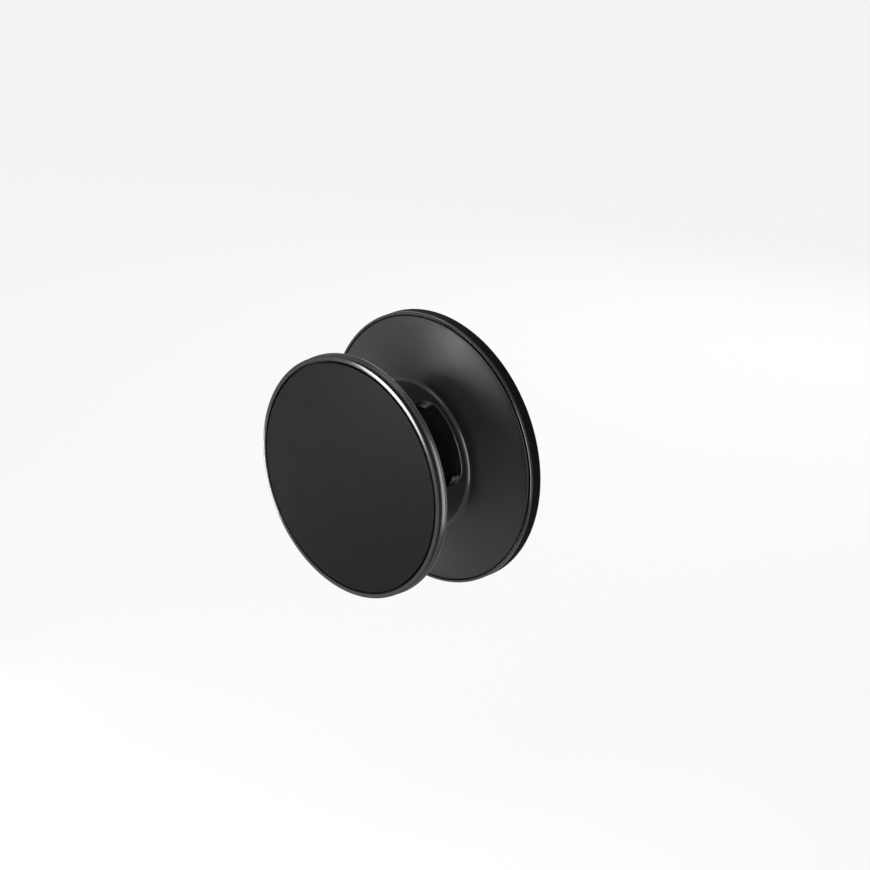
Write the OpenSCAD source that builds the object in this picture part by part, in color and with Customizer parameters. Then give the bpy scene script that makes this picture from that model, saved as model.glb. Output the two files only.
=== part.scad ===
// Magnetic phone wall mount: a hollow spool with an adhesive disc at one end, which sticks
// to the wall, and a wider magnet head at the other, which a phone snaps onto.
// Every piece is drawn about its own axis, with local +Z as the distance from the wall.
// on_wall() then lays the wall in the XZ plane, with the part reaching out along -Y.

/* [Overall] */
// Distance from the wall to the back of the phone
depth = 26.3; // [25.3:0.5:34.3]

/* [Wall disc] */
// Diameter of the spool's flange at the wall end
flange_d = 51.4; // [42:0.2:64]
// Thickness of the flange's outer edge
flange_t = 1.5; // [1.45:0.05:2.6]
// How much thicker the flange is where it meets the neck
flange_taper = 0.55; // [0.1:0.05:1.6]
// How far the wall plate's rim lies inside the flange's edge
plate_inset = 0.1; // [0:0.1:1]
// Width of the plate's crowned rim round the pad
rim_w = 0.95; // [0.9:0.05:2]
// Drop of the crowned rim from the pad to the outside
rim_drop = 0.15; // [0.1:0.05:0.6]
// Thickness of the rim's outer lip
rim_lip = 0.1; // [0.1:0.05:0.5]
// Height of the shadow groove between the rim and the flange
groove_h = 1; // [0.8:0.05:1.3]
// Depth of the shadow groove
groove_depth = 0.6; // [0.4:0.05:0.75]
// Thickness of the wall plate under the pad
plate_t = 1.3; // [1.25:0.05:1.6]
// Thickness of the adhesive pad
pad_t = 0.9; // [0.8:0.05:1.2]
// How far the pad stands proud of the rim
pad_proud = 0.1; // [0.1:0.05:0.5]

/* [Neck] */
// Outer diameter of the neck
neck_d = 32; // [26:0.5:40]
// Thickness of the neck's wall
neck_wall = 2.6; // [1.8:0.1:3]
// Fillet at the foot of the neck, where the trumpet begins
foot_fillet = 0.6; // [0.3:0.1:1]
// Fillet between the neck and the flange
head_fillet = 1.2; // [0.5:0.1:2]
// Thickness of the floor that closes the neck towards the magnets
floor_t = 1.8; // [1.4:0.1:3]
// Width of the step left round the shallow well in the floor
well_edge = 1.9; // [1:0.1:5]
// Depth of the shallow well in the floor
well_depth = 0.6; // [0.3:0.1:1]

/* [Windows] */
// Angle that one window takes up round the neck
window_deg = 68; // [40:1:70]
// Height of a window along the neck
window_h = 10.5; // [6:0.5:11]
// Radius of a window's corners
window_r = 2.5; // [1:0.1:4]
// Distance from the foot of the neck to the window
window_sill = 1.75; // [1.4:0.05:3]

/* [Magnet head] */
// Diameter of the magnet head
head_d = 58; // [48:0.5:70]
// Height of the head from the phone to the foot of the neck
head_h = 8; // [7:0.1:9]
// How much the trumpet's slope hollows, where 1 is a straight cone
trumpet_power = 1.2; // [1:0.05:1.5]
// Height of the soft boot's side wall
boot_h = 2.4; // [2.2:0.1:3]
// Thickness of the soft boot's face and side
boot_t = 0.6; // [0.5:0.05:0.75]
// Thickness of the tape behind the boot's face
tape_t = 0.1; // [0.1:0.05:0.2]
// Height of the cup's rim above the boot
cup_rim_h = 0.6; // [0.4:0.1:1]
// Width of the cup's rim at its top
cup_rim_w = 0.5; // [0.5:0.05:1.2]
// How much wider the cup's rim is at its root
cup_rim_slope = 0.25; // [0.25:0.05:0.4]
// Chamfer on the cup's rim
cup_chamfer = 0.15; // [0.1:0.05:0.3]
// Thickness of the cup's floor in front of the magnets
cup_floor = 0.4; // [0.3:0.05:0.6]
// Thickness of the cup's side wall
cup_wall = 0.45; // [0.4:0.05:1]
// Wall thickness of the trumpet over the hollow of the head
trumpet_wall = 2; // [1.4:0.1:2.5]

/* [Magnets] */
// Number of magnets in the ring
magnet_n = 16; // [8:1:24]
// Width of the magnets, from the ring's inside to its outside
magnet_w = 3.8; // [3:0.1:5]
// Thickness of the magnets
magnet_t = 1; // [0.8:0.1:1.2]
// Width of the carrier's spoke between two magnets
carrier_spoke = 0.7; // [0.5:0.1:2]
// Width of the carrier's inner and outer rings
carrier_edge = 0.6; // [0.5:0.05:1.5]
// Thickness of the steel ring behind the magnets
shield_t = 0.5; // [0.3:0.05:0.6]

/* [Fasteners] */
// Number of screws at each end, and of windows between the posts that take them
screw_n = 3; // [2:1:3]
// Thread diameter of the screws
screw_d = 2.5; // [2:0.1:2.6]
// Diameter of the countersunk heads
screw_head_d = 4.5; // [4:0.1:5]
// Length of the screws, head included
screw_l = 5; // [4:0.5:5.5]
// Outer diameter of the brass inserts
insert_d = 3.6; // [3.2:0.1:4]
// Length of the brass inserts
insert_l = 4; // [3.5:0.5:4.5]
// Diameter of the bosses that hold the inserts
boss_d = 6; // [5.2:0.1:7]
// Width of the ribs in the hollow of the head
rib_w = 1.2; // [0.8:0.1:2]

/* [Clearances] */
// Gap round a piece that drops into its seat
seat_gap = 0.1; // [0.05:0.05:0.2]
// Gap that shows between the pad and the plate's rim
pad_gap = 0.45; // [0.05:0.05:0.5]
// Gap between the root of the cup's rim and the trumpet
trumpet_gap = 0.1; // [0.1:0.05:0.5]
// Gap between a thread and its nut, or an insert and its pocket
thread_gap = 0.03; // [0.02:0.01:0.05]

/* [Hidden] */
$fn = 96;

// Overlap that makes one cut run past a face
past = 0.5;
// Points on each small fillet, on the rim's crown, on the trumpet's curve and on the hollow under it
fillet_points = 6;
crown_points = 4;
trumpet_points = 12;
hollow_points = 4;
// Edge roundings of the flange, the boot and the pad
flange_round = 0.7;
boot_round = 0.35;
pad_round = 0.12;
// Screw head height, hex socket and clearance hole
head_k = 1.2;
socket_af = 1.5;
socket_depth = 0.8;
clear_d = screw_d + 0.3;
// Width and depth of the groove between an insert's two knurls
knurl_gap = 0.6;
knurl_depth = 0.25;
// Gap under a screw's head
head_gap = 0.02;
// How far a boss bites into the wall that carries it
boss_bite = 1.6;
// Depth of an insert's pocket below its insert
pocket_extra = 0.3;
// Height of the neck's floor above the windows, and how far a window's cut starts inside the bore
floor_step = 0.75;
window_past = 0.3;
// Width of the base's edge that rests on the cup, and the smallest step that the turned shapes take
base_edge = 1;
edge_step = 0.1;

// Wall disc, by distance from the wall
plate_r = flange_d / 2 - plate_inset;
pocket_r = plate_r - rim_w;
pad_r = pocket_r - pad_gap;
rim_z = pad_proud + rim_drop + rim_lip;
flange_z = rim_z + groove_h;
seat_z = pad_t + plate_t;
spigot_r = plate_r - groove_depth;
flange_end = flange_z + flange_t;
// Neck
neck_r = neck_d / 2;
bore_r = neck_r - neck_wall;
foot_z = depth - head_h;
// Height of the trumpet's edge above the phone, and how far it rises to the neck
rim_h = boot_h + cup_rim_h;
trumpet_rise = head_h - rim_h;
trumpet_r = head_d / 2 - cup_rim_w - cup_rim_slope - trumpet_gap;
foot_slope = trumpet_power * trumpet_rise / (trumpet_r - neck_r);
foot_angle = atan(foot_slope);
foot_center_z = foot_z + foot_fillet * (foot_slope - 1 / cos(foot_angle));
window_z = foot_z - window_sill;
floor_z = window_z + floor_step;
window_half = neck_r * sin(window_deg / 2);
window_in = sqrt(bore_r * bore_r - window_half * window_half) - window_past;
// Magnet head, by height above the phone
head_r = head_d / 2;
cup_back = boot_t + tape_t;
boot_in_r = head_r - boot_t;
cup_r = boot_in_r - seat_gap / 2;
magnet_h = cup_back + cup_floor;
shield_h = magnet_h + magnet_t;
base_h = shield_h + shield_t;
channel_r = cup_r - cup_wall;
carrier_r = channel_r - seat_gap;
magnet_out = carrier_r - carrier_edge - seat_gap;
magnet_in = magnet_out - magnet_w;
carrier_in = magnet_in - seat_gap - carrier_edge;
web_r = carrier_in - seat_gap;
hollow_r = web_r - base_edge;
// Fasteners
plate_boss_r = bore_r - boss_d / 2 + boss_bite;
head_boss_r = bore_r - boss_d / 2;
// Windows sit between the posts, and the first post points straight up
post_angle = 90;
head_boss_angle = post_angle + 180 / screw_n;

// Turns a piece drawn about local +Z so that it stands out from the wall
module on_wall() rotate([90, 0, 0]) children();
// Places children at a height above the phone, with local +Z towards the wall
module above_phone(h) translate([0, 0, depth - h]) mirror([0, 0, 1]) children();
// Repeats children round the axis
module around(n, radius, start) for (i = [0 : n - 1])
    rotate([0, 0, start + i * 360 / n]) translate([radius, 0, 0]) children();

// Points of an arc about [x, y], from angle a to angle b
function arc(x, y, r, a, b) = [for (i = [0 : fillet_points])
    [x + r * cos(a + (b - a) * i / fillet_points), y + r * sin(a + (b - a) * i / fillet_points)]];
// Distance from the wall of the plate's crowned rim, at a share s of the way out: it falls ever steeper
function crown_z(s) = pad_proud + rim_drop * s * s;
// Distance from the wall of the trumpet's surface, at a share s of the way in from its edge
function trumpet_z(s) = depth - rim_h - trumpet_rise * pow(s, trumpet_power);
// Distance from the wall of the trumpet's surface, at radius r
function trumpet_at(r) = trumpet_z((trumpet_r - r) / (trumpet_r - neck_r));

// A flat ring, as a tube of height h
module ring(outer, inner, h) difference() {
    cylinder(r = outer, h = h);
    translate([0, 0, -past]) cylinder(r = inner, h = h + 2 * past);
}
// A rectangle with round corners
module rounded_rect(w, h, r) polygon(concat(
    arc(w / 2 - r, h / 2 - r, r, 0, 90),
    arc(r - w / 2, h / 2 - r, r, 90, 180),
    arc(r - w / 2, r - h / 2, r, 180, 270),
    arc(w / 2 - r, r - h / 2, r, 270, 360)
));
// A countersunk screw with its head at z = 0 and its point along +Z
module countersunk_screw() difference() {
    union() {
        cylinder(r1 = screw_head_d / 2, r2 = screw_d / 2 - thread_gap, h = head_k);
        cylinder(r = screw_d / 2 - thread_gap, h = screw_l);
    }
    translate([0, 0, -past]) cylinder(d = socket_af / cos(30), h = socket_depth + past, $fn = 6);
}
// The hole for that screw through a plate of thickness t, with its countersink
module countersunk_hole(t) {
    translate([0, 0, -past]) cylinder(d = clear_d, h = t + 2 * past);
    cylinder(r1 = screw_head_d / 2 + seat_gap / 2, r2 = clear_d / 2, h = head_k);
    translate([0, 0, -past]) cylinder(r = screw_head_d / 2 + seat_gap / 2, h = past);
}
// A brass insert with a knurl groove, its mouth at z = 0
module brass_insert() difference() {
    cylinder(r = insert_d / 2 - thread_gap, h = insert_l);
    translate([0, 0, -past]) cylinder(r = screw_d / 2, h = insert_l + 2 * past);
    translate([0, 0, insert_l / 2]) ring(insert_d, insert_d / 2 - knurl_depth, knurl_gap);
}
module insert_pocket() translate([0, 0, -past])
    cylinder(r = insert_d / 2, h = insert_l + pocket_extra + past);

module adhesive_pad() color("#37383a") on_wall() rotate_extrude() polygon(concat(
    [[0, 0]],
    arc(pad_r - pad_round, pad_round, pad_round, -90, 0),
    [[pad_r, pad_t], [0, pad_t]]
));

module wall_plate() color("#2a2b2d") on_wall() difference() {
    rotate_extrude() polygon(concat(
        [[0, pad_t], [pocket_r, pad_t]],
        [for (i = [0 : crown_points])
            let (s = i / crown_points) [pocket_r + (plate_r - pocket_r) * s, crown_z(s)]],
        [[plate_r, rim_z], [spigot_r, rim_z], [spigot_r, seat_z], [0, seat_z]]
    ));
    around(screw_n, plate_boss_r, post_angle)
        translate([0, 0, pad_t]) countersunk_hole(plate_t);
}

module plate_screws() color("#b9bbbe") on_wall()
    around(screw_n, plate_boss_r, post_angle) translate([0, 0, pad_t + head_gap]) countersunk_screw();

module plate_inserts() color("#c9a44a") on_wall()
    around(screw_n, plate_boss_r, post_angle) translate([0, 0, seat_z]) brass_insert();

// The spool's outside, turned about its axis and still solid
module spool_solid() rotate_extrude() polygon(concat(
    [[0, flange_z]],
    arc(flange_d / 2 - flange_round, flange_z + flange_round, flange_round, -90, 0),
    arc(flange_d / 2 - flange_round, flange_end - flange_round, flange_round, 0, 90),
    arc(neck_r + head_fillet, flange_end + flange_taper + head_fillet, head_fillet, -90, -180),
    arc(neck_r + foot_fillet, foot_center_z, foot_fillet, 180, 90 + foot_angle),
    [for (i = [1 : trumpet_points])
        let (s = 1 - i / trumpet_points, r = trumpet_r - (trumpet_r - neck_r) * s)
        if (r > neck_r + foot_fillet + edge_step) [r, trumpet_z(s)]],
    [[trumpet_r, depth - base_h], [0, depth - base_h]]
));
// The hollow of the neck, open to the wall plate, with the bosses that stand in it left out
module neck_hollow() difference() {
    union() {
        translate([0, 0, seat_z - past]) cylinder(r = bore_r, h = floor_z - seat_z + past);
        translate([0, 0, floor_z - past]) cylinder(r = bore_r - well_edge, h = well_depth + past);
    }
    around(screw_n, plate_boss_r, post_angle) cylinder(d = boss_d, h = depth);
}
// The hollow of the head, closed by the magnet cup, with its bosses and ribs left out
module head_hollow() difference() {
    rotate_extrude() polygon(concat(
        [[0, floor_z + floor_t], [bore_r - base_edge, floor_z + floor_t]],
        [for (i = [0 : hollow_points])
            let (r = neck_r + (hollow_r - neck_r) * i / hollow_points)
            [r, trumpet_at(r) + trumpet_wall]],
        [[hollow_r, depth - base_h + past], [0, depth - base_h + past]]
    ));
    around(screw_n, head_boss_r, head_boss_angle) cylinder(d = boss_d, h = depth + past);
    around(2 * screw_n, head_boss_r, head_boss_angle)
        translate([0, -rib_w / 2, 0]) cube([head_r, rib_w, depth + past]);
}
module neck_windows() around(screw_n, window_in, head_boss_angle)
    translate([0, 0, window_z - window_h / 2]) rotate([90, 0, 90])
        linear_extrude(neck_r) rounded_rect(2 * window_half, window_h, window_r);

module spool_body() color("#2d2e30") on_wall() difference() {
    spool_solid();
    translate([0, 0, flange_z - past])
        cylinder(r = spigot_r + seat_gap, h = seat_z - flange_z + past);
    neck_hollow();
    neck_windows();
    head_hollow();
    around(screw_n, plate_boss_r, post_angle) translate([0, 0, seat_z]) insert_pocket();
    above_phone(base_h) around(screw_n, head_boss_r, head_boss_angle) insert_pocket();
}

module head_inserts() color("#c9a44a") on_wall() above_phone(base_h)
    around(screw_n, head_boss_r, head_boss_angle) brass_insert();

module head_screws() color("#b9bbbe") on_wall() above_phone(cup_back + head_gap)
    around(screw_n, head_boss_r, head_boss_angle) countersunk_screw();

module magnet_cup() color("#242527") on_wall() above_phone(0) difference() {
    rotate_extrude() polygon([
        [0, cup_back], [cup_r, cup_back], [cup_r, boot_h], [head_r, boot_h],
        [head_r, rim_h - cup_chamfer], [head_r - cup_chamfer, rim_h],
        [head_r - cup_rim_w, rim_h], [head_r - cup_rim_w - cup_rim_slope, base_h],
        [channel_r, base_h], [channel_r, magnet_h], [web_r, magnet_h],
        [web_r, base_h], [0, base_h]
    ]);
    around(screw_n, head_boss_r, head_boss_angle)
        translate([0, 0, cup_back]) countersunk_hole(base_h - cup_back);
}

module shield_ring() color("#8d9094") on_wall() above_phone(shield_h)
    ring(carrier_r, carrier_in, shield_t);

// The space that one magnet takes up, grown by a gap
module magnet_space(gap, h) {
    half = (360 / magnet_n - (carrier_spoke + 2 * seat_gap) / magnet_in * 180 / PI) / 2;
    grow = gap / magnet_in * 180 / PI;
    rotate([0, 0, -half - grow]) rotate_extrude(angle = 2 * (half + grow))
        translate([magnet_in - gap, 0]) square([magnet_w + 2 * gap, h]);
}
module magnet_carrier() color("#d9dadb") on_wall() above_phone(magnet_h) difference() {
    ring(carrier_r, carrier_in, magnet_t);
    around(magnet_n, 0, 0) translate([0, 0, -past]) magnet_space(seat_gap, magnet_t + 2 * past);
}
module magnet(i) color("#a8abb0") on_wall() above_phone(magnet_h)
    rotate([0, 0, i * 360 / magnet_n]) magnet_space(0, magnet_t);

module face_tape() color("#e4e0d4") on_wall() above_phone(boot_t)
    cylinder(r = boot_in_r - 2 * seat_gap, h = tape_t);

module grip_boot() color("#1d1e1f") on_wall() above_phone(0) rotate_extrude() polygon(concat(
    [[0, 0]],
    arc(head_r - boot_round, boot_round, boot_round, -90, 0),
    [[head_r, boot_h], [boot_in_r, boot_h], [boot_in_r, boot_t], [0, boot_t]]
));

adhesive_pad();
wall_plate();
plate_screws();
plate_inserts();
spool_body();
head_inserts();
head_screws();
magnet_cup();
shield_ring();
magnet_carrier();
face_tape();
grip_boot();
for (i = [1 : magnet_n]) magnet(i);
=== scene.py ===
"""Studio scene of a magnetic phone wall mount: its shells as fine surfaces, its finishes and a plain stage.

The part stands out from the wall along -Y, so a distance d from the wall is -y. A point of a turned piece
is (r cos a, -d, r sin a), for radius r and angle a about the mount's axis.
"""

import math

import bmesh
import bpy
import numpy as np
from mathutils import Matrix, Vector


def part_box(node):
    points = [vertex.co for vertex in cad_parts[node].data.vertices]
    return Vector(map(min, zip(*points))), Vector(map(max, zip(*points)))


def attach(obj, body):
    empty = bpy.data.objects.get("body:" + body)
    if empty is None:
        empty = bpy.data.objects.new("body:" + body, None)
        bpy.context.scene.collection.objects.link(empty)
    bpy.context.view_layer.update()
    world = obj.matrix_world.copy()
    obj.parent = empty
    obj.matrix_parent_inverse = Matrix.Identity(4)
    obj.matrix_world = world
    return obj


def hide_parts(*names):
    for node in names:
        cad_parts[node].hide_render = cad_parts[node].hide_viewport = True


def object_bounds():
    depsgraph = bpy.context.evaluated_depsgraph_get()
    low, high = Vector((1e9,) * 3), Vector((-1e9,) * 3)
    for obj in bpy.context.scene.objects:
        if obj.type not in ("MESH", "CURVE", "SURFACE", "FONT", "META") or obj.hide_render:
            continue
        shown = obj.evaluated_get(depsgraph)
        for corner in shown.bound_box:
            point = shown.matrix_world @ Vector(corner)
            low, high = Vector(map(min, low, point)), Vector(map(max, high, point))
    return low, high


bl_info = {
    "name": "Magnetic Phone Wall Mount",
    "version": (1, 0, 0),
    "blender": (4, 5, 0),
    "location": "View3D > Sidebar > Phone Mount",
    "description": "Builds the shells, the finishes and the stage of a magnetic phone wall mount",
    "category": "Object",
}

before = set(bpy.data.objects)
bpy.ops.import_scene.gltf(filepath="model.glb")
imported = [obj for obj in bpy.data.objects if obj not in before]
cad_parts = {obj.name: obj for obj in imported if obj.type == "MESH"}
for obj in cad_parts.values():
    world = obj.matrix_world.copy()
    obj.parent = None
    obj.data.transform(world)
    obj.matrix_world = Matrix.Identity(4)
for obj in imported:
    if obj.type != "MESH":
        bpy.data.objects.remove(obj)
CAD_BOX = [list(corner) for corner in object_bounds()]
MM = 0.001
SECTORS = 3
SEGMENTS = 240
FIRST_ANGLE = math.radians(-30)
# The gap between the plate's spigot and the flange
SEAT_PLAY = 0.1 * MM
# How far behind the plate the windowed part of the bore begins, and how far before the floor it ends
BORE_LEAD = 2 * MM
FLOOR_LEAD = 0.3 * MM


def reach(node):
    """Radius, nearest and furthest distance from the wall of a round CAD node."""
    low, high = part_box(node)
    return high.x, -high.y, -low.y


PAD_R, PAD_NEAR, PAD_FAR = reach("adhesive_pad")
PLATE_R, PLATE_NEAR, PLATE_FAR = reach("wall_plate")
SPOOL_R, SPOOL_NEAR, SPOOL_FAR = reach("spool_body")
CUP_R, CUP_NEAR, CUP_FAR = reach("magnet_cup")
BOOT_R, BOOT_NEAR, BOOT_FAR = reach("grip_boot")


# Sizes and colours that a user may change


def length(name, description, default):
    return bpy.props.FloatProperty(
        name=name, description=description, default=default, unit="LENGTH", precision=5
    )


def colour(name, description, default):
    return bpy.props.FloatVectorProperty(
        name=name, description=description, default=default, size=3, subtype="COLOR", min=0, max=1
    )


def share(name, description, default):
    return bpy.props.FloatProperty(name=name, description=description, default=default, min=0, max=1)


class MOUNT_PG_disc(bpy.types.PropertyGroup):
    pad_round: length("Pad edge", "Rounding of the pad's outer edge", 0.12 * MM)
    rim_inner: length("Rim inside", "Radius of the recess that holds the pad", 24.65 * MM)
    rim_drop: length("Rim drop", "Drop of the crowned rim from the pad to the outside", 0.15 * MM)
    rim_lip: length("Rim lip", "Thickness of the rim's outer lip", 0.1 * MM)
    rim_cut: length("Rim cut", "Radius at which the rim's bright cut begins", 24.73 * MM)
    rim_cut_end: length("Rim cut end", "Radius at which the rim's bright cut ends", 25.45 * MM)
    spigot: length("Spigot", "Radius of the plate behind the shadow groove", 25.0 * MM)


class MOUNT_PG_spool(bpy.types.PropertyGroup):
    flange: length("Flange", "Radius of the flange", 25.7 * MM)
    edge_width: length("Edge width", "Width of the flange's polished edge", 0.7 * MM)
    flange_back: length("Flange back", "Distance from the wall to the back of the flange's edge", 2.85 * MM)
    flange_root: length("Flange root", "Distance from the wall to the flange's back at the neck", 3.4 * MM)
    bevel_end: length("Bevel end", "Distance from the wall to the end of the flange's bevel", 1.86 * MM)
    bevel_bulge: length("Bevel bulge", "How far the flange's bevel bulges", 0.03 * MM)
    crease: length("Crease", "Distance from the wall to the fine crease in the flange's edge", 2.02 * MM)
    bead: length("Bead", "Radius of the bead behind the crease", 0.28 * MM)
    neck: length("Neck", "Outer radius of the neck", 16 * MM)
    bore: length("Bore", "Inner radius of the neck", 13.4 * MM)
    foot: length("Foot", "Distance from the wall to the foot of the neck", 18.3 * MM)
    foot_fillet: length("Foot fillet", "Fillet between the neck and the trumpet", 0.6 * MM)
    head_fillet: length("Head fillet", "Fillet between the neck and the flange", 1.2 * MM)
    floor: length("Floor", "Distance from the wall to the neck's floor", 17.3 * MM)
    well: length("Well", "Radius of the floor's shallow well", 11.5 * MM)
    well_depth: length("Well depth", "Depth of the floor's shallow well", 0.6 * MM)
    window_width: length("Window width", "Straight width of a window", 17.9 * MM)
    window_near: length("Window start", "Distance from the wall to a window", 6.05 * MM)
    window_far: length("Window end", "Distance from the wall to a window's sill", 16.55 * MM)
    window_round: length("Window corner", "Radius of a window's corners", 2.5 * MM)
    window_lip: length("Window lip", "Width of the rounded lip round a window", 0.4 * MM)
    bore_lip: length("Bore lip", "Width of the rounded lip of a window inside the neck", 0.2 * MM)
    wall: length("Wall", "Thickness of the trumpet's wall", 2 * MM)
    floor_wall: length("Floor wall", "Thickness of the neck's floor beside its well", 1.8 * MM)
    hollow: length("Hollow", "Radius of the hollow in the head", 21.5 * MM)
    trumpet_edge: length("Trumpet edge", "Width of the trumpet's rounded edge", 0.2 * MM)
    post: length("Post", "Radius of the posts and bosses of the screws", 3 * MM)
    pocket: length("Pocket", "Radius of the pocket of an insert", 1.8 * MM)
    pocket_depth: length("Pocket depth", "Depth of the pocket of an insert", 4.3 * MM)
    rib_width: length("Rib width", "Width of a rib in the head's hollow", 1.2 * MM)
    rib_start: length("Rib start", "Radius at which a rib begins", 10.4 * MM)
    rib_end: length("Rib end", "Radius at which a rib ends", 17.2 * MM)
    rib_drop: length("Rib drop", "How far a rib starts behind the front of the neck's floor", 1.9 * MM)


class MOUNT_PG_cup(bpy.types.PropertyGroup):
    rim: length("Rim", "Width of the rim at its top", 0.5 * MM)
    slope: length("Rim slope", "How much wider the rim is at its root", 0.25 * MM)
    chamfer: length("Chamfer", "Chamfer on the rim's outer edge", 0.15 * MM)
    channel_play: length("Channel play", "Gap round the shield ring in its channel", 0.1 * MM)
    web: length("Web", "Radius of the raised middle inside the magnet ring", 22.5 * MM)
    step: length("Step", "How much smaller the cup is inside the boot", 0.65 * MM)


class MOUNT_PG_boot(bpy.types.PropertyGroup):
    wall: length("Boot wall", "Thickness of the boot's side", 0.6 * MM)
    near_round: length("Near rounding", "Rounding of the boot's edge by the cup's rim", 0.1 * MM)
    far_round: length("Far rounding", "Rounding of the boot's edge at the phone", 0.35 * MM)


class MOUNT_PG_screws(bpy.types.PropertyGroup):
    head: length("Screw hole mouth", "Diameter of a countersunk hole at its mouth", 4.6 * MM)
    shank: length("Screw hole", "Diameter of a screw hole", 2.8 * MM)
    sink: length("Countersink", "Depth of a countersink", 1.2 * MM)


class MOUNT_PG_finish(bpy.types.PropertyGroup):
    foam: colour("Foam", "Charcoal of the adhesive pad", (0.0035, 0.0036, 0.004))
    anodised: colour("Anodised", "Black of the plate and the cup", (0.008, 0.008, 0.0085))
    cut_metal: colour("Cut metal", "Metal of the cut edges under their black", (0.075, 0.075, 0.078))
    moulding: colour("Moulding", "Black of the spool", (0.0045, 0.0045, 0.0047))
    silicone: colour("Silicone", "Black of the boot", (0.003, 0.003, 0.0032))
    steel: colour("Steel", "Screws and the shield ring", (0.56, 0.56, 0.57))
    brass: colour("Brass", "Threaded inserts", (0.60, 0.44, 0.20))
    nickel: colour("Nickel", "Plating of the magnets", (0.62, 0.60, 0.57))
    natural: colour("Natural", "Carrier of the magnets", (0.66, 0.66, 0.63))
    tape: colour("Tape", "Tape behind the boot's face", (0.70, 0.66, 0.55))


class MOUNT_PG_stage(bpy.types.PropertyGroup):
    camera_place: bpy.props.FloatVectorProperty(
        name="Camera place",
        description="Where the camera stands",
        default=(-0.646498, 0.627454, 0.350996),
        subtype="TRANSLATION",
        unit="LENGTH",
    )
    camera_turn: bpy.props.FloatVectorProperty(
        name="Camera turn",
        description="Which way the camera looks",
        default=tuple(math.radians(a) for a in (69.21653, 0.60307, -135.4929)),
        subtype="EULER",
    )
    focal_length: bpy.props.FloatProperty(
        name="Focal length", description="Focal length of the camera in millimetres", default=196.545
    )
    floor_drop: length("Floor drop", "How far the floor lies below the mount", 45 * MM)
    backdrop: colour("Backdrop", "White of the floor and of what lies behind", (1.0, 1.0, 1.0))
    surround: share("Surround", "How brightly the room lights the mount", 0.6)
    floor_base: share("Floor base", "Brightness of the floor's own colour", 0.65)
    floor_glow: share("Floor glow", "Brightness of the white that the camera sees on the floor", 0.97)
    glow_share: share("Glow share", "Share of that white in what the camera sees of the floor", 0.87)


# Surfaces


def rounded_profile(corners, steps=5, hold=0.05 * MM):
    """Points (r, d) through corners (r, d, rounding), each rounded by an arc.

    An arc of radius q leaves its sides at q / tan(half the corner's angle) from the corner, about a centre
    on the corner's bisector. A held point beyond each end of the arc keeps the shading beside it flat.
    """
    points = []
    for k, (r, d, q) in enumerate(corners):
        here = np.array([r, d])
        if q <= 0 or k in (0, len(corners) - 1):
            points.append(here)
            continue
        sides = [np.array(corners[k + s][:2]) - here for s in (-1, 1)]
        lengths = [np.linalg.norm(s) for s in sides]
        before, after = (s / n for s, n in zip(sides, lengths))
        half = math.acos(np.clip(before @ after, -1, 1)) / 2
        leg = q / math.tan(half)
        middle = (before + after) / np.linalg.norm(before + after) * q / math.sin(half)
        ends = before * leg - middle, after * leg - middle
        turn = math.pi - 2 * half
        t = np.linspace(0, 1, steps + 1)[:, None]
        arc = (np.sin((1 - t) * turn) * ends[0] + np.sin(t * turn) * ends[1]) / math.sin(turn)
        if lengths[0] > 3 * leg + hold:
            points.append(here + before * (leg + hold))
        points.extend(here + middle + arc)
        if lengths[1] > 3 * leg + hold:
            points.append(here + after * (leg + hold))
    return np.array(points)


def quads(rows, columns, wrap):
    """Quads between the points of a grid, each wound so that its face looks out of the turned piece."""
    i, j = np.meshgrid(np.arange(rows - 1), np.arange(columns if wrap else columns - 1), indexing="ij")
    k = (j + 1) % columns
    corners = [i * columns + j, i * columns + k, (i + 1) * columns + k, (i + 1) * columns + j]
    return np.stack(corners, axis=-1).reshape(-1, 4)


def turned(profile, segments=SEGMENTS, centre=(0.0, 0.0)):
    """A profile turned about an axis along Y: (r cos a, -d, r sin a) for each (r, d) and each angle a."""
    angle = FIRST_ANGLE + np.arange(segments) * 2 * math.pi / segments
    r, d = profile[:, :1], profile[:, 1:]
    x = r * np.cos(angle) + centre[0]
    z = r * np.sin(angle) + centre[1]
    return np.stack([x, -d + 0 * angle, z], axis=-1).reshape(-1, 3), quads(len(profile), segments, True)


def about_axis(points, angle):
    """Points turned by an angle about the mount's axis: (x cos a - z sin a, y, x sin a + z cos a)."""
    c, s = math.cos(angle), math.sin(angle)
    x, y, z = points[..., 0], points[..., 1], points[..., 2]
    return np.stack([x * c - z * s, y, x * s + z * c], axis=-1)


def rounded_box(low, high, rounding, core=0.995):
    """A block whose edges are rounded.

    Each point of a grid on a cube's six faces goes to its corner of the inner box, then out by the rounding
    along its own direction. The core is the share of a face that stays flat on the cube.
    """
    low, high = np.array(low), np.array(high)
    t = np.array([-1.0, -core, core, 1.0])
    u, v = np.meshgrid(t, t, indexing="ij")
    points, faces = [], []
    for axis in range(3):
        for side in (-1.0, 1.0):
            face = np.empty(u.shape + (3,))
            face[..., axis] = side
            face[..., (axis + 1) % 3] = u if side > 0 else v
            face[..., (axis + 2) % 3] = v if side > 0 else u
            faces.append(quads(4, 4, False) + 16 * len(points))
            points.append(face.reshape(-1, 3))
    cube = np.concatenate(points)
    out = np.where(np.abs(cube) > core, np.sign(cube), 0)
    out /= np.linalg.norm(out, axis=1, keepdims=True)
    middle, half = (low + high) / 2, (high - low) / 2 - rounding
    return middle + np.sign(cube) * half + out * rounding, np.concatenate(faces)


def lay(r, angle, d):
    """Points at radius r, angle and distance d from the wall."""
    return np.stack([r * np.cos(angle), -d, r * np.sin(angle)], axis=-1)


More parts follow.
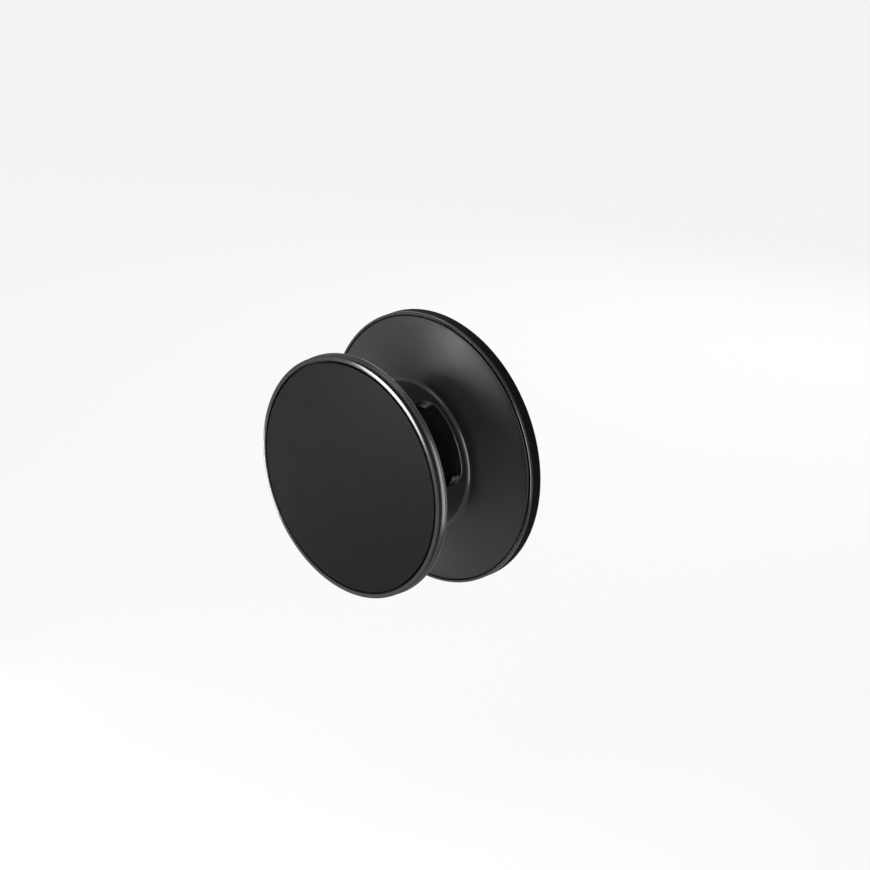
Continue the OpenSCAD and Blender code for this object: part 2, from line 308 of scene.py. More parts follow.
def window_outline(half_width, near, far, rounding, top, side):
    """A rectangle with round corners as (offset across, distance d), from the middle of one near corner.

    Its four sides start and end at the middles of the corners, and each has evenly spaced points.
    """
    half = (far - near) / 2
    middle = (far + near) / 2

    def along(straight, count):
        """Even points on a side, seen from its middle: an eighth of a circle, a straight and an eighth."""
        bend = math.pi / 4 * rounding
        s = np.arange(count) / count * (2 * bend + 2 * straight) - bend - straight
        over = np.maximum(np.abs(s) - straight, 0) / rounding
        out = np.sign(s) * (np.minimum(np.abs(s), straight) + rounding * np.sin(over))
        return out, rounding * (np.cos(over) - 1)

    x, y = along(half_width - rounding, top)
    u, v = along(half - rounding, side)
    across = np.concatenate([x, half_width + v, -x, -half_width - v])
    down = np.concatenate([-half - y, u, half + y, -u])
    return across, middle + down


def window_sector(s, middle_angle, top=80, side=32):
    """A third of the neck's wall with one window through it, as a ring-shaped grid round the window.

    The grid's columns run round the window. Its rows start on the outer rectangle of the sector, cross the
    outside of the neck to the window's lip, turn over the lip on a parabola, go through the wall along the
    window's own direction, turn over the inner lip, and cross the bore to the inner rectangle.
    """
    half_angle = math.pi / SECTORS
    t, q = np.arange(top) / top * 2 - 1, np.arange(side) / side

    def rectangle(near, far):
        """The sector's outer rectangle, as angles and distances d."""
        down, up = near + (far - near) * q, far + (near - far) * q
        angle = np.concatenate([t, np.ones(side), -t, -np.ones(side)]) * half_angle
        return angle, np.concatenate([np.full(top, near), down, np.full(top, far), up])

    def outline(grow, radius):
        """The window's outline grown all round, as offsets across, distances d and depths at a radius."""
        near, far = s.window_near - grow, s.window_far + grow
        across, d = window_outline(s.window_width / 2 + grow, near, far, s.window_round + grow, top, side)
        return across, d, np.sqrt(radius**2 - across**2)

    def cross(radius, near, far, grow, rows):
        """Rows on a cylinder from the rectangle to the window's grown outline, evenly in angle and d."""
        angle, d = rectangle(near, far)
        across, end_d, _ = outline(grow, radius)
        end_angle = np.arcsin(across / radius)
        along = np.linspace(0, 1, rows + 1)[:, None]
        return lay(radius, angle + (end_angle - angle) * along, d + (end_d - d) * along)

    def lip(radius, grow, inwards, rows):
        """Rows over a lip: the parabola from the grown outline, by the edge, to a point down the wall."""
        along = np.linspace(0, 1, rows + 1)[1:, None, None]
        grown, edge = outline(grow, radius), outline(0, radius)
        start = lay(radius, np.arcsin(grown[0] / radius), grown[1])
        corner = np.stack([edge[2], -edge[1], edge[0]], axis=-1)
        end = corner + np.array([inwards * grow, 0, 0])
        return (1 - along) ** 2 * start + 2 * along * (1 - along) * corner + along**2 * end

    outside = cross(s.neck, s.flange_root + s.head_fillet, s.foot - s.foot_fillet, s.window_lip, 10)
    outer_lip = lip(s.neck, s.window_lip, -1, 7)
    inner_lip = lip(s.bore, s.bore_lip, 1, 3)[::-1]
    inside = cross(s.bore, PLATE_FAR + BORE_LEAD, s.floor - FLOOR_LEAD, s.bore_lip, 5)[::-1]
    wall = outer_lip[-1] + (inner_lip[0] - outer_lip[-1]) * np.linspace(0, 1, 5)[1:-1, None, None]
    grid = about_axis(np.concatenate([outside, outer_lip, wall, inner_lip, inside]), middle_angle)
    return grid.reshape(-1, 3), quads(grid.shape[0], grid.shape[1], True)


def build_mesh(name, chunks, sharp=38):
    """One mesh from chunks of (points, quads), smooth but for corners of more than sharp degrees."""
    starts = np.cumsum([0] + [len(points) for points, _ in chunks])
    points = np.concatenate([points for points, _ in chunks])
    faces = np.concatenate([f + start for (_, f), start in zip(chunks, starts)])
    mesh = bpy.data.meshes.new(name)
    mesh.vertices.add(len(points))
    mesh.vertices.foreach_set("co", points.astype(np.float32).ravel())
    mesh.loops.add(faces.size)
    mesh.loops.foreach_set("vertex_index", faces.astype(np.int32).ravel())
    mesh.polygons.add(len(faces))
    mesh.polygons.foreach_set("loop_start", np.arange(len(faces), dtype=np.int32) * 4)
    mesh.update(calc_edges=True)
    mesh.validate()
    work = bmesh.new()
    work.from_mesh(mesh)
    bmesh.ops.remove_doubles(work, verts=work.verts, dist=1e-7)
    bmesh.ops.recalc_face_normals(work, faces=work.faces)
    work.to_mesh(mesh)
    work.free()
    mesh.polygons.foreach_set("use_smooth", np.ones(len(mesh.polygons), dtype=bool))
    mesh.set_sharp_from_angle(angle=math.radians(sharp))
    return mesh


def face_middles(mesh):
    """Radius and distance from the wall of each face's middle."""
    middle = np.empty(len(mesh.polygons) * 3)
    mesh.polygons.foreach_get("center", middle)
    middle = middle.reshape(-1, 3)
    return np.hypot(middle[:, 0], middle[:, 2]), -middle[:, 1]


def place(name, mesh, materials, node):
    """Shows a mesh, at the origin, as a piece that stands for a CAD node."""
    for material in materials:
        mesh.materials.append(material)
    piece = bpy.data.objects.new(name, mesh)
    bpy.context.scene.collection.objects.link(piece)
    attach(piece, "root")
    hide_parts(node)


def drilled(mesh, cutter):
    """The mesh with a cutter's shape taken out of it."""
    body = bpy.data.objects.new("blank", mesh)
    tool = bpy.data.objects.new("drill", cutter)
    for o in (body, tool):
        bpy.context.scene.collection.objects.link(o)
    cut = body.modifiers.new("holes", "BOOLEAN")
    cut.operation = "DIFFERENCE"
    cut.solver = "EXACT"
    cut.object = tool
    bpy.context.view_layer.update()
    result = bpy.data.meshes.new_from_object(body.evaluated_get(bpy.context.evaluated_depsgraph_get()))
    for o in (body, tool):
        bpy.data.objects.remove(o)
    result.materials.clear()
    result.polygons.foreach_set("use_smooth", np.ones(len(result.polygons), dtype=bool))
    result.set_sharp_from_angle(angle=math.radians(30))
    return result


# Node groups


def group(name, inputs, outputs):
    """An empty node group with its sockets: inputs (name, default), outputs (name, kind)."""
    tree = bpy.data.node_groups.new(name, "ShaderNodeTree")
    for label, default in inputs:
        socket = tree.interface.new_socket(label, in_out="INPUT", socket_type="NodeSocketFloat")
        socket.default_value = default
    for label, kind in outputs:
        tree.interface.new_socket(label, in_out="OUTPUT", socket_type="NodeSocket" + kind)
    return tree, tree.nodes.new("NodeGroupInput"), tree.nodes.new("NodeGroupOutput")


def maths(tree, operation, *values):
    """A Math node on values or sockets, and its result."""
    node = tree.nodes.new("ShaderNodeMath")
    node.operation = operation
    for socket, value in zip(node.inputs, values):
        if isinstance(value, bpy.types.NodeSocket):
            tree.links.new(value, socket)
        else:
            socket.default_value = value
    return node.outputs[0]


def noise(tree, where, size, detail=2.0, roughness=0.5):
    """Noise whose grains are about size metres across, on the object's own coordinates."""
    node = tree.nodes.new("ShaderNodeTexNoise")
    node.inputs["Detail"].default_value = detail
    node.inputs["Roughness"].default_value = roughness
    tree.links.new(where, node.inputs["Vector"])
    tree.links.new(maths(tree, "DIVIDE", 1.0, size), node.inputs["Scale"])
    return node.outputs["Fac"]


def axis_distance(tree):
    """Distance from the mount's axis, the root of x squared plus z squared, and the coordinates."""
    where = tree.nodes.new("ShaderNodeTexCoord").outputs["Object"]
    split = tree.nodes.new("ShaderNodeSeparateXYZ")
    tree.links.new(where, split.inputs[0])
    x, z = split.outputs["X"], split.outputs["Z"]
    squares = maths(tree, "ADD", maths(tree, "MULTIPLY", x, x), maths(tree, "MULTIPLY", z, z))
    return maths(tree, "SQRT", squares), where


def grain_group():
    """Grain of a moulded skin: fine noise broken up by a coarser one, as a height and a mask."""
    inputs = [("Size", 0.2 * MM), ("Coarse", 3 * MM)]
    tree, inside, out = group("Moulded Grain", inputs, [("Height", "Float"), ("Mottle", "Float")])
    where = tree.nodes.new("ShaderNodeTexCoord").outputs["Object"]
    fine = noise(tree, where, inside.outputs["Size"], 3.0, 0.6)
    coarse = noise(tree, where, inside.outputs["Coarse"])
    tree.links.new(maths(tree, "MULTIPLY", fine, maths(tree, "ADD", 0.6, coarse)), out.inputs["Height"])
    tree.links.new(coarse, out.inputs["Mottle"])
    return tree


def turning_group():
    """Marks of a lathe tool: fine rings about the axis, wavering a little, as a height and a mask."""
    inputs = [("Pitch", 0.12 * MM), ("Waver", 0.4)]
    tree, inside, out = group("Turning Marks", inputs, [("Height", "Float"), ("Rings", "Float")])
    pitch = inside.outputs["Pitch"]
    r, where = axis_distance(tree)
    drift = noise(tree, where, maths(tree, "MULTIPLY", pitch, 12.0))
    waver = maths(tree, "MULTIPLY", drift, inside.outputs["Waver"])
    phase = maths(tree, "ADD", maths(tree, "DIVIDE", r, pitch), waver)
    ring = maths(tree, "SINE", maths(tree, "MULTIPLY", phase, 2 * math.pi))
    wave = maths(tree, "ADD", maths(tree, "MULTIPLY", ring, 0.5), 0.5)
    tree.links.new(wave, out.inputs["Height"])
    tree.links.new(maths(tree, "MULTIPLY", wave, noise(tree, where, 4 * MM)), out.inputs["Rings"])
    return tree


def shared(name, build):
    """A node group made once and used by every material that asks for it."""
    return bpy.data.node_groups.get(name) or build()


class Finish:
    """A material on one Principled BSDF, with the few steps that the finishes share."""

    def __init__(self, name, base, roughness, metallic=0.0, specular=0.5):
        self.material = bpy.data.materials.new(name)
        self.material.use_nodes = True
        self.material.diffuse_color = (*base, 1)
        self.tree = self.material.node_tree
        self.shader = self.tree.nodes["Principled BSDF"]
        self.shader.inputs["Base Color"].default_value = (*base, 1)
        self.shader.inputs["Roughness"].default_value = roughness
        self.shader.inputs["Metallic"].default_value = metallic
        self.shader.inputs["Specular IOR Level"].default_value = specular
        self.base = base

    def use(self, name, build, **values):
        """Places a shared node group, with this finish's own values."""
        node = self.tree.nodes.new("ShaderNodeGroup")
        node.node_tree = shared(name, build)
        for label, value in values.items():
            node.inputs[label].default_value = value
        return node

    def bump(self, height, distance):
        """Relief from a height between 0 and 1, at most distance metres high."""
        node = self.tree.nodes.new("ShaderNodeBump")
        node.inputs["Distance"].default_value = distance
        self.tree.links.new(height, node.inputs["Height"])
        self.tree.links.new(node.outputs[0], self.shader.inputs["Normal"])

    def ranged(self, value, low, high, to_low, to_high, smooth=False):
        """A value carried from the range low to high to the range to_low to to_high, and held beyond it."""
        node = self.tree.nodes.new("ShaderNodeMapRange")
        node.interpolation_type = "SMOOTHSTEP" if smooth else "LINEAR"
        ends = {"From Min": low, "From Max": high, "To Min": to_low, "To Max": to_high}
        for label, number in ends.items():
            node.inputs[label].default_value = number
        self.tree.links.new(value, node.inputs["Value"])
        return node.outputs["Result"]

    def vary_roughness(self, mask, low, high):
        """Roughness from low to high where the mask goes from a quarter to three quarters."""
        self.tree.links.new(self.ranged(mask, 0.25, 0.75, low, high), self.shader.inputs["Roughness"])

    def vary_colour(self, mask, low, high):
        """Base colour from low to high times itself, by the mask."""
        mix = self.tree.nodes.new("ShaderNodeMix")
        mix.data_type = "RGBA"
        mix.inputs["A"].default_value = (*(c * low for c in self.base), 1)
        mix.inputs["B"].default_value = (*(c * high for c in self.base), 1)
        self.tree.links.new(mask, mix.inputs["Factor"])
        self.tree.links.new(mix.outputs["Result"], self.shader.inputs["Base Color"])


def moulded(name, base, roughness, size, depth, specular=0.5, spread=0.05, metallic=0.0):
    """A moulded skin with grain of a size and depth in its relief, its gloss and, faintly, its colour."""
    finish = Finish(name, base, roughness, metallic, specular)
    grain = finish.use("Moulded Grain", grain_group, Size=size)
    finish.bump(grain.outputs["Height"], depth)
    finish.vary_roughness(grain.outputs["Mottle"], roughness - spread, roughness + spread)
    finish.vary_colour(grain.outputs["Mottle"], 0.9, 1.1)
    return finish.material


def turned_metal(name, base, roughness, pitch, depth, specular=0.5, metallic=1.0):
    """A turned surface with tool marks of a pitch and depth in its relief, its gloss and its colour."""
    finish = Finish(name, base, roughness, metallic, specular)
    marks = finish.use("Turning Marks", turning_group, Pitch=pitch)
    finish.bump(marks.outputs["Height"], depth)
    finish.vary_roughness(marks.outputs["Rings"], roughness - 0.03, roughness + 0.06)
    finish.vary_colour(marks.outputs["Rings"], 0.92, 1.06)
    return finish.material


def spool_finish(finishes):
    """Satin moulding of the spool: a polished neck, and grain that grows from the trumpet's foot out."""
    finish = Finish("Satin Moulding", finishes.moulding, 0.36, specular=0.33)
    grain = finish.use("Moulded Grain", grain_group, Size=0.22 * MM)
    r, _ = axis_distance(finish.tree)
    polished_to, grained_from = 16.2 * MM, 19 * MM
    out = finish.ranged(r, polished_to, grained_from, 0.0, 1.0, smooth=True)
    finish.bump(maths(finish.tree, "MULTIPLY", grain.outputs["Height"], out), 0.006 * MM)
    mottle = finish.ranged(grain.outputs["Mottle"], 0.25, 0.75, -0.03, 0.03)
    level = finish.ranged(out, 0.0, 1.0, 0.2, 0.38)
    finish.tree.links.new(maths(finish.tree, "ADD", mottle, level), finish.shader.inputs["Roughness"])
    finish.vary_colour(grain.outputs["Mottle"], 0.92, 1.08)
    return finish.material


# Operators


class MOUNT_OT_adhesive_pad(bpy.types.Operator):
    """Charcoal foam pad that sticks to the wall, with a softly rounded edge"""

    bl_idname = "mount.adhesive_pad"
    bl_label = "Adhesive Pad"

    def execute(self, context):
        s, finishes = context.scene.mount_disc, context.scene.mount_finish
        corners = [(0, PAD_NEAR, 0), (PAD_R, PAD_NEAR, s.pad_round), (PAD_R, PAD_FAR, 0), (0, PAD_FAR, 0)]
        mesh = build_mesh("foam_pad", [turned(rounded_profile(corners))])
        foam = moulded("Foam Tape", finishes.foam, 0.38, 0.12 * MM, 0.002 * MM, specular=0.06)
        place("foam_pad", mesh, [foam], "adhesive_pad")
        return {"FINISHED"}


class MOUNT_OT_wall_plate(bpy.types.Operator):
    """Black plate behind the pad, with a bright crowned rim and countersunk screw holes"""

    bl_idname = "mount.wall_plate"
    bl_label = "Wall Plate"

    def execute(self, context):
        s, finishes = context.scene.mount_disc, context.scene.mount_finish
        mesh = build_mesh("plate_disc", [turned(self.profile(s))], sharp=30)
        screws = context.scene.mount_screws
        mesh = drilled(mesh, screw_cutter(screws, "plate_screws", PAD_FAR, PLATE_FAR))
        black = turned_metal(
            "Black Anodising", finishes.anodised, 0.4, 0.1 * MM, 0.001 * MM, specular=0.06, metallic=0.0
        )
        bright = turned_metal("Cut Rim", finishes.cut_metal, 0.18, 0.05 * MM, 0.0004 * MM)
        radius, d = face_middles(mesh)
        cut_depth = PLATE_NEAR + s.rim_drop + 0.02 * MM
        cut = (radius > s.rim_cut) & (radius < s.rim_cut_end) & (d < cut_depth)
        mesh.polygons.foreach_set("material_index", cut.astype(np.int32))
        place("plate_disc", mesh, [black, bright], "wall_plate")
        return {"FINISHED"}

    def profile(self, s):
        """The plate from its recess over the rim to its back.

        The rim falls by the square of the share of the way out.
        """
        edge_d = PLATE_NEAR + s.rim_drop
        lip_d = edge_d + s.rim_lip
        width = PLATE_R - s.rim_inner
        way_out = np.linspace(0, 1, 13)[1:-1]
        rim = [(s.rim_inner + width * t, PLATE_NEAR + s.rim_drop * t * t, 0) for t in way_out]
        inside = [(0, PAD_FAR, 0), (s.rim_inner, PAD_FAR, 0), (s.rim_inner, PLATE_NEAR, 0.02 * MM)]
        outside = [(PLATE_R, edge_d, 0.03 * MM), (PLATE_R, lip_d, 0.03 * MM), (s.spigot, lip_d, 0)]
        back = [(s.spigot, PLATE_FAR, 0), (0, PLATE_FAR, 0)]
        return rounded_profile(inside + rim + outside + back, steps=3)


def node_centres(node):
    """Middles, in X and Z, of the separate solids of a CAD node that stand evenly round the axis."""
    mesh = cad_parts[node].data
    points = np.empty(len(mesh.vertices) * 3)
    mesh.vertices.foreach_get("co", points)
    points = points.reshape(-1, 3)
    angle = np.degrees(np.arctan2(points[:, 2], points[:, 0]))
    which = np.round((angle - angle[0]) % 360 / (360 / SECTORS)).astype(int) % SECTORS
    groups = [points[which == k] for k in range(SECTORS)]
    return [(g.max(0) + g.min(0))[[0, 2]] / 2 for g in groups]


def screw_cutter(screws, node, near, far):
    """Countersunk holes where a node's screws stand, wide at near and running past far."""
    way = 1 if far > near else -1
    profile = np.array(
        [
            (0, near - way * MM),
            (screws.head / 2, near - way * MM),
            (screws.head / 2, near),
            (screws.shank / 2, near + way * screws.sink),
            (screws.shank / 2, far + way * MM),
            (0, far + way * MM),
        ]
    )
    return build_mesh("holes", [turned(profile, 48, centre) for centre in node_centres(node)])


class MOUNT_OT_spool(bpy.types.Operator):
    """Flange, windowed neck and trumpet in one satin black moulding, with its posts, bosses and ribs"""

    bl_idname = "mount.spool"
    bl_label = "Spool"

    def execute(self, context):
        s, disc, finishes = context.scene.mount_spool, context.scene.mount_disc, context.scene.mount_finish
        mesh = build_mesh("spool_shell", self.chunks(s, disc))
        polished = moulded(
            "Polished Flange", finishes.moulding, 0.26, 0.3 * MM, 0.0005 * MM, specular=0.5, spread=0.02
        )
        satin = spool_finish(finishes)
        radius, d = face_middles(mesh)
        on_edge = (radius > s.flange - s.edge_width) & (d < s.flange_back + 0.2 * MM)
        mesh.polygons.foreach_set("material_index", on_edge.astype(np.int32))
        place("spool_shell", mesh, [satin, polished], "spool_body")
        return {"FINISHED"}

    def chunks(self, s, disc):
        """The neck's floor, the flange, the windowed neck, the trumpet, posts, bosses and ribs."""
        floor_side = [
            (0, s.floor + s.well_depth, 0),
            (s.well, s.floor + s.well_depth, 0.15 * MM),
            (s.well, s.floor, 0.15 * MM),
            (s.bore, s.floor, 0),
            (s.bore, s.floor - FLOOR_LEAD, 0),
        ]
        seat = disc.spigot + SEAT_PLAY
        inside = [(s.bore, PLATE_FAR + BORE_LEAD, 0), (s.bore, PLATE_FAR, 0.1 * MM), (seat, PLATE_FAR, 0)]
        edge = self.flange_edge(s, seat)
        back = [
            (*edge[-1], 0),
            (s.flange - s.edge_width, s.flange_back, 0.2 * MM),
            (s.neck, s.flange_root, s.head_fillet),
            (s.neck, s.flange_root + s.head_fillet, 0),
        ]
        flange = np.concatenate([rounded_profile(inside), edge, rounded_profile(back, steps=8)[1:]])
        sectors = [FIRST_ANGLE + math.pi / SECTORS * (2 * k + 1) for k in range(SECTORS)]
        chunks = [turned(rounded_profile(floor_side)), turned(flange)]
        chunks += [window_sector(s, angle) for angle in sectors]
        chunks.append(turned(self.trumpet(s)))
        return chunks + self.bosses(s) + self.ribs(s)

    def flange_edge(self, s, seat):
        """Profile of the flange's edge: a bevel from the seat's radius out, a crease, and a bead's arc.

        The bevel is a straight line raised by a parabola along its normal. The bead's arc runs from
        60 degrees before its outermost point to 100 degrees past it.
        """
        t = np.linspace(0, 1, 15)[:, None]
        start, end = np.array([seat, SPOOL_NEAR]), np.array([s.flange - 0.3 * s.bead, s.bevel_end])
        normal = np.array([end[1] - start[1], start[0] - end[0]]) / np.linalg.norm(end - start)
        bevel = start + (end - start) * t + normal * 4 * s.bevel_bulge * t * (1 - t)
        a = math.radians(60) - math.radians(160) * t
        middle = np.array([s.flange - s.bead, s.crease + s.bead])
        bead = middle + s.bead * np.hstack([np.cos(a), -np.sin(a)])
        return np.concatenate([bevel, [[s.flange - s.bead, s.crease]], bead])

    def slope(self, s, r):
        """The trumpet's distance d at radius r: it falls by the 1.2th power of the share of the way in."""
        return CUP_NEAR - (CUP_NEAR - s.foot) * ((SPOOL_R - r) / (SPOOL_R - s.neck)) ** 1.2

    def trumpet(self, s):
        """Profile from the foot of the neck down the trumpet, round its edge and back through the hollow.

        The foot is a parabola from the neck to the trumpet, whose corner is where the trumpet's tangent
        meets the neck. The hollow follows the trumpet at the wall's thickness.
        """
        t = np.linspace(0, 1, 9)[:, None]
        foot_r, edge_r = s.neck + 1.2 * s.foot_fillet, SPOOL_R - s.trumpet_edge
        start = np.array([s.neck, s.foot - s.foot_fillet])
        end = np.array([foot_r, self.slope(s, foot_r)])
        step = 0.01 * MM
        tangent = (self.slope(s, foot_r + step) - end[1]) / step
        corner = np.array([s.neck, end[1] - tangent * (foot_r - s.neck)])
        foot = (1 - t) ** 2 * start + 2 * t * (1 - t) * corner + t**2 * end
        r = np.linspace(foot_r, edge_r, 40)[1:]
        surface = np.stack([r, self.slope(s, r)], axis=-1)
        corners = [
            (edge_r, self.slope(s, edge_r), 0),
            (SPOOL_R, CUP_NEAR, 0.1 * MM),
            (SPOOL_R, SPOOL_FAR, 0),
            (s.hollow, SPOOL_FAR, 0),
        ]
        edge = rounded_profile(corners, steps=4)[1:]
        r = np.linspace(s.hollow, s.neck, 8)
        under = np.stack([r, self.slope(s, r) + s.wall], axis=-1)
        top = s.floor + s.floor_wall
        return np.concatenate([foot, surface, edge, under, [[s.bore - MM, top], [0, top]]])

    def bosses(self, s):
        """Posts in the neck and bosses in the head, each with the pocket of its insert."""
        posts = []
        for node, mouth, root in (
            ("plate_inserts", PLATE_FAR, s.floor + 0.2 * MM),
            ("head_inserts", SPOOL_FAR, s.floor + 0.9 * MM),
        ):
            bottom = mouth + math.copysign(s.pocket_depth, root - mouth)
            pocket = [(0, bottom, 0), (s.pocket, bottom, 0), (s.pocket, mouth, 0)]
            outside = [(s.post, mouth, 0.05 * MM), (s.post, root, 0), (0, root, 0)]
            profile = rounded_profile(pocket + outside)
            posts += [turned(profile, 60, centre) for centre in node_centres(node)]
        return posts

    def ribs(self, s):
        """Six ribs in the hollow of the head, from the bosses' circle outwards."""
        low = (s.rib_start, -SPOOL_FAR, -s.rib_width / 2)
        high = (s.rib_end, -s.floor - s.rib_drop, s.rib_width / 2)
        points, faces = rounded_box(low, high, 0.1 * MM)
        angles = [FIRST_ANGLE + math.pi / SECTORS * k for k in range(2 * SECTORS)]
        return [(about_axis(points, angle), faces) for angle in angles]


class MOUNT_OT_magnet_cup(bpy.types.Operator):
    """Black cup that holds the magnet ring, with a bright top to its rim"""

    bl_idname = "mount.magnet_cup"
    bl_label = "Magnet Cup"

    def execute(self, context):
        s, finishes = context.scene.mount_cup, context.scene.mount_finish
        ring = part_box("shield_ring")[1]
        shield_near = -ring.y
        rim = CUP_R - s.rim
        profile = rounded_profile(self.corners(s, rim, shield_near, ring.x + s.channel_play), steps=3)
        mesh = build_mesh("cup_shell", [turned(profile)], sharp=30)
        mesh = drilled(mesh, screw_cutter(context.scene.mount_screws, "head_screws", CUP_FAR, shield_near))
        black = turned_metal(
            "Cup Anodising", finishes.anodised, 0.3, 0.1 * MM, 0.001 * MM, specular=0.2, metallic=0.0
        )
        metal = tuple(0.9 * c for c in finishes.cut_metal)
        bright = turned_metal("Cut Rim", metal, 0.2, 0.05 * MM, 0.0004 * MM)
        radius, d = face_middles(mesh)
        cut = (radius > rim) & (d < CUP_NEAR + 0.3 * s.chamfer)
        mesh.polygons.foreach_set("material_index", cut.astype(np.int32))
        place("cup_shell", mesh, [black, bright], "magnet_cup")
        return {"FINISHED"}

    def corners(self, s, rim, shield_near, channel):
        """The cup from its middle over the channel and the rim to its back."""
        magnet_far = -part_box("magnet_carrier")[0].y
        return [
            (0, shield_near, 0),
            (s.web, shield_near, 0),
            (s.web, magnet_far, 0),
            (channel, magnet_far, 0),
            (channel, shield_near, 0),
            (rim - s.slope, shield_near, 0),
            (rim, CUP_NEAR, 0.04 * MM),
            (CUP_R - s.chamfer, CUP_NEAR, 0.04 * MM),
            (CUP_R, CUP_NEAR + s.chamfer, 0.04 * MM),
            (CUP_R, BOOT_NEAR, 0),
            (CUP_R - s.step, BOOT_NEAR, 0),
            (CUP_R - s.step, CUP_FAR, 0),
            (0, CUP_FAR, 0),
        ]


class MOUNT_OT_grip_boot(bpy.types.Operator):
    """Soft silicone boot over the cup, with a fine grain"""

    bl_idname = "mount.grip_boot"
    bl_label = "Grip Boot"

    def execute(self, context):
        s, finishes = context.scene.mount_boot, context.scene.mount_finish
        inner = BOOT_R - s.wall
        face = -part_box("face_tape")[0].y
        corners = [
            (0, face, 0),
            (inner, face, 0),
            (inner, BOOT_NEAR, s.near_round),
            (BOOT_R, BOOT_NEAR, s.near_round),
            (BOOT_R, BOOT_FAR, s.far_round),
            (0, BOOT_FAR, 0),
        ]
        mesh = build_mesh("boot_skin", [turned(rounded_profile(corners, steps=6))])
        silicone = moulded("Silicone", finishes.silicone, 0.75, 0.3 * MM, 0.03 * MM, specular=0.025)
        place("boot_skin", mesh, [silicone], "grip_boot")
        return {"FINISHED"}


class MOUNT_OT_inner_parts(bpy.types.Operator):
    """Finishes of the screws, inserts, magnets, carrier, shield ring and tape inside the mount"""

    bl_idname = "mount.inner_parts"
    bl_label = "Inner Parts"

    def execute(self, context):
        finishes = context.scene.mount_finish
        steel = turned_metal("Plain Steel", finishes.steel, 0.3, 0.1 * MM, 0.002 * MM)
        brass = turned_metal("Turned Brass", finishes.brass, 0.28, 0.1 * MM, 0.002 * MM)
        nickel = moulded("Nickel Plating", finishes.nickel, 0.16, 0.5 * MM, 0.002 * MM, metallic=1.0)
        natural = moulded("Natural Moulding", finishes.natural, 0.5, 0.2 * MM, 0.004 * MM)
        tape = moulded("Tape Film", finishes.tape, 0.6, 0.6 * MM, 0.01 * MM)
        wanted = {
            "plate_screws": steel,
            "head_screws": steel,
            "shield_ring": steel,
            "plate_inserts": brass,
            "head_inserts": brass,
            "magnet_carrier": natural,
            "face_tape": tape,
        }
        wanted.update({name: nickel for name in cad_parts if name[-1].isdigit()})
        for name, material in wanted.items():
            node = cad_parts[name]
            if not node.material_slots:
                node.data.materials.append(material)
            for slot in node.material_slots:
                slot.material = material
        return {"FINISHED"}


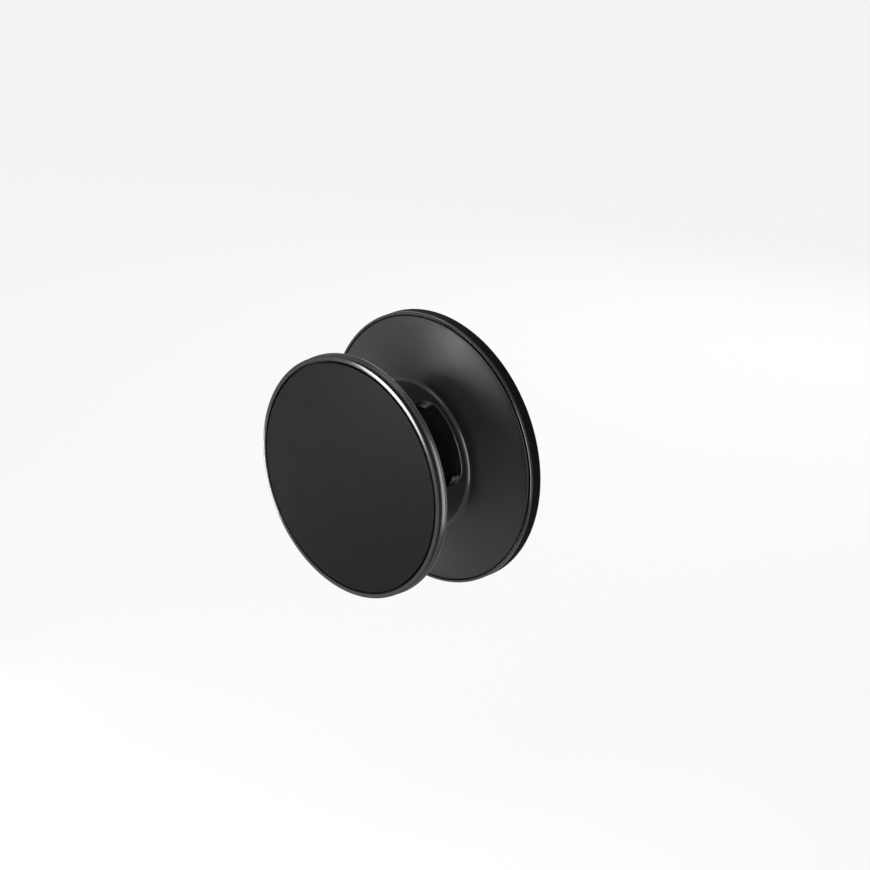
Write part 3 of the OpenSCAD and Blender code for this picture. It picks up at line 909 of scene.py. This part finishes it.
class MOUNT_OT_stage(bpy.types.Operator):
    """White floor and surround, soft lamps and the camera"""

    bl_idname = "mount.stage"
    bl_label = "Stage"

    def execute(self, context):
        stage = context.scene.mount_stage
        self.camera(context.scene, stage)
        self.surround(context.scene, stage)
        self.floor(context.scene, stage)
        self.lamps(context.scene)
        context.scene.view_settings.view_transform = "Standard"
        return {"FINISHED"}

    def camera(self, scene, stage):
        camera = bpy.data.objects.new("Camera", bpy.data.cameras.new("Camera"))
        camera.data.lens = stage.focal_length
        camera.data.sensor_width = 36
        camera.data.clip_end = 20
        camera.location = stage.camera_place
        camera.rotation_euler = stage.camera_turn
        scene.collection.objects.link(camera)
        scene.camera = camera

    def seen(self, tree):
        """1 where the camera, a gloss or glass sees the stage, and 0 where it only lights the mount."""
        rays = tree.nodes.new("ShaderNodeLightPath").outputs
        either = maths(tree, "MAXIMUM", rays["Is Camera Ray"], rays["Is Transmission Ray"])
        return maths(tree, "MAXIMUM", either, rays["Is Glossy Ray"])

    def surround(self, scene, stage):
        """A world that is plain white where it is seen, and lights the mount at the surround's level."""
        world = bpy.data.worlds.new("Surround")
        world.use_nodes = True
        tree = world.node_tree
        background = tree.nodes["Background"]
        background.inputs["Color"].default_value = (*stage.backdrop, 1)
        extra = maths(tree, "MULTIPLY", self.seen(tree), 1 - stage.surround)
        tree.links.new(maths(tree, "ADD", extra, stage.surround), background.inputs["Strength"])
        scene.world = world

    def floor(self, scene, stage):
        """A flat round floor far wider than the view: a middle and one ring, white where it is seen."""
        floor_z = CAD_BOX[0][2] - stage.floor_drop
        points, faces = turned(np.array([[0.0, 0.0], [0.5, 0.0], [6.0, 0.0]]), 96)
        points = np.stack([points[:, 0], points[:, 2], np.full(len(points), floor_z)], axis=-1)
        mesh = build_mesh("Floor", [(points, faces)])
        material = bpy.data.materials.new("White Floor")
        material.use_nodes = True
        tree = material.node_tree
        shader = tree.nodes["Principled BSDF"]
        shader.inputs["Base Color"].default_value = (*[stage.floor_base] * 3, 1)
        shader.inputs["Roughness"].default_value = 0.9
        shader.inputs["Specular IOR Level"].default_value = 0.0
        glow = tree.nodes.new("ShaderNodeEmission")
        glow.inputs["Color"].default_value = (*stage.backdrop, 1)
        glow.inputs["Strength"].default_value = stage.floor_glow
        mix = tree.nodes.new("ShaderNodeMixShader")
        tree.links.new(maths(tree, "MULTIPLY", self.seen(tree), stage.glow_share), mix.inputs["Fac"])
        tree.links.new(shader.outputs[0], mix.inputs[1])
        tree.links.new(glow.outputs[0], mix.inputs[2])
        tree.links.new(mix.outputs[0], tree.nodes["Material Output"].inputs["Surface"])
        mesh.materials.append(material)
        floor = bpy.data.objects.new("Floor", mesh)
        scene.collection.objects.link(floor)

    def lamps(self, scene):
        """Soft lamps: name, direction from the mount, distance, width, height, power in watts."""
        for name, direction, distance, width, height, power in (
            ("Key Card", (0.432, 0.896, 0.097), 0.0926, 0.038, 0.045, 0.082),
            ("Front Softbox", (0.28, 0.92, 0.27), 0.3, 0.19, 0.11, 0.7),
            ("Side Card", (-0.86, 0.51, -0.06), 0.12, 0.06, 0.14, 0.2),
            ("Rim Card", (0.9, 0.225, -0.375), 0.133, 0.018, 0.036, 0.03),
            ("Top Softbox", (0.05, 0.35, 0.93), 0.4, 0.2, 0.2, 0.3),
            ("Back Softbox", (0.35, -0.9, 0.25), 0.35, 0.2, 0.2, 0.6),
        ):
            lamp = bpy.data.lights.new(name, "AREA")
            lamp.shape = "RECTANGLE"
            lamp.size = width
            lamp.size_y = height
            lamp.energy = power
            spot = np.array(direction) / np.linalg.norm(direction) * distance
            lamp_object = bpy.data.objects.new(name, lamp)
            lamp_object.location = spot
            lamp_object.rotation_euler = aim(spot)
            lamp_object.visible_camera = False
            scene.collection.objects.link(lamp_object)


def aim(spot):
    """Rotation of a lamp at a spot so that it shines on the mount's middle."""
    x, y, z = spot
    return math.acos(z / math.sqrt(x * x + y * y + z * z)), 0.0, math.atan2(y, x) + math.pi / 2


class MOUNT_PT_panel(bpy.types.Panel):
    """Steps that build the mount's looks"""

    bl_label = "Phone Mount"
    bl_idname = "MOUNT_PT_panel"
    bl_space_type = "VIEW_3D"
    bl_region_type = "UI"
    bl_category = "Phone Mount"

    def draw(self, context):
        for step in STEPS:
            self.layout.operator(step.bl_idname)
        for name in GROUPS:
            box = self.layout.box()
            for prop in type(getattr(context.scene, name)).__annotations__:
                box.prop(getattr(context.scene, name), prop)


GROUPS = {
    "mount_disc": MOUNT_PG_disc,
    "mount_spool": MOUNT_PG_spool,
    "mount_cup": MOUNT_PG_cup,
    "mount_boot": MOUNT_PG_boot,
    "mount_screws": MOUNT_PG_screws,
    "mount_finish": MOUNT_PG_finish,
    "mount_stage": MOUNT_PG_stage,
}
STEPS = (
    MOUNT_OT_adhesive_pad,
    MOUNT_OT_wall_plate,
    MOUNT_OT_spool,
    MOUNT_OT_magnet_cup,
    MOUNT_OT_grip_boot,
    MOUNT_OT_inner_parts,
    MOUNT_OT_stage,
)


def register():
    for cls in (*GROUPS.values(), *STEPS, MOUNT_PT_panel):
        bpy.utils.register_class(cls)
    for name, cls in GROUPS.items():
        setattr(bpy.types.Scene, name, bpy.props.PointerProperty(type=cls))


def unregister():
    for name in GROUPS:
        delattr(bpy.types.Scene, name)
    for cls in reversed((*GROUPS.values(), *STEPS, MOUNT_PT_panel)):
        bpy.utils.unregister_class(cls)


def main():
    register()
    for step in STEPS:
        family, name = step.bl_idname.split(".")
        getattr(getattr(bpy.ops, family), name)()


if __name__ == "__main__":
    main()
